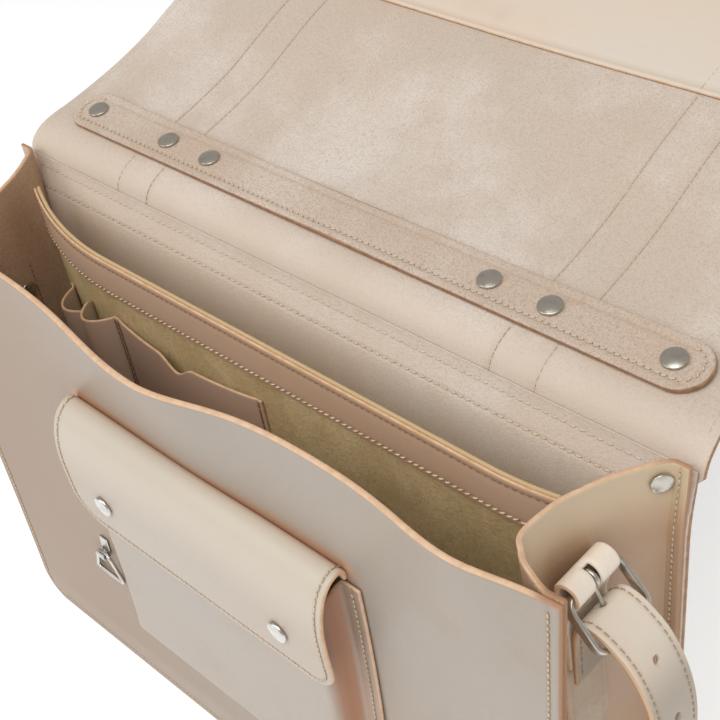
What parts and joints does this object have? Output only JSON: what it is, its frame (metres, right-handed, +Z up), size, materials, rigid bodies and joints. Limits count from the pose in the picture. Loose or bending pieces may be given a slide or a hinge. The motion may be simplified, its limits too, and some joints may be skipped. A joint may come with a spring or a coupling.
{
  "type": "leather briefcase",
  "caption": "Open natural leather briefcase with its flap folded back, an inner pocket on a divider, a snapped front pocket, side buckles and a shoulder strap.",
  "frame": {"origin": "middle of the base's underside, on the surface that the briefcase stands on", "axes": "+X towards the right gusset as seen from the front, +Y towards the back where the open flap lies, +Z up"},
  "size_m": [0.499, 0.4154, 0.3417],
  "materials": {
    "smooth_leather": "smooth grain side, satin",
    "suede": "rough flesh side, matt",
    "olive_suede": "napped suede, matt",
    "nickel": "polished nickel plate"
  },
  "bodies": {
    "case": {"front_panel": "smooth_leather", "back_panel": "suede", "base": "smooth_leather", "gusset_right": "smooth_leather", "gusset_left": "smooth_leather", "flap": "suede", "flap_strip": "suede", "strip_rivet_1": "nickel", "strip_rivet_2": "nickel", "strip_rivet_3": "nickel", "strip_rivet_4": "nickel", "strip_rivet_5": "nickel", "strip_rivet_6": "nickel", "flap_facing": "smooth_leather", "flap_strap_left": "smooth_leather", "flap_strap_right": "smooth_leather", "handle": "smooth_leather", "handle_rivet_1": "nickel", "handle_rivet_2": "nickel", "handle_rivet_3": "nickel", "handle_rivet_4": "nickel", "divider": "olive_suede", "divider_band": "smooth_leather", "inner_pocket": "smooth_leather", "pocket_body": "smooth_leather", "pocket_flap": "smooth_leather", "pocket_snap_left": "nickel", "pocket_snap_right": "nickel", "side_tab_right": "smooth_leather", "side_tab_left": "smooth_leather", "buckle_right": "nickel", "buckle_left": "nickel", "gusset_rivet_right": "nickel", "gusset_rivet_left": "nickel", "tab_rivet_right": "nickel", "tab_rivet_left": "nickel", "shoulder_strap": "smooth_leather", "catch_clip_right": "nickel", "catch_clip_left": "nickel", "catch_ring_right": "nickel"},
    "catch_ring": {"catch_ring_left": "nickel"}
  },
  "joints": [
    {"name": "catch_ring_swing", "type": "hinge", "parent": "case", "child": "catch_ring", "pos_m": [-0.111, -0.0428, 0.089], "axis": [-1, 0, 0], "range_deg": [0, 110]}
  ]
}
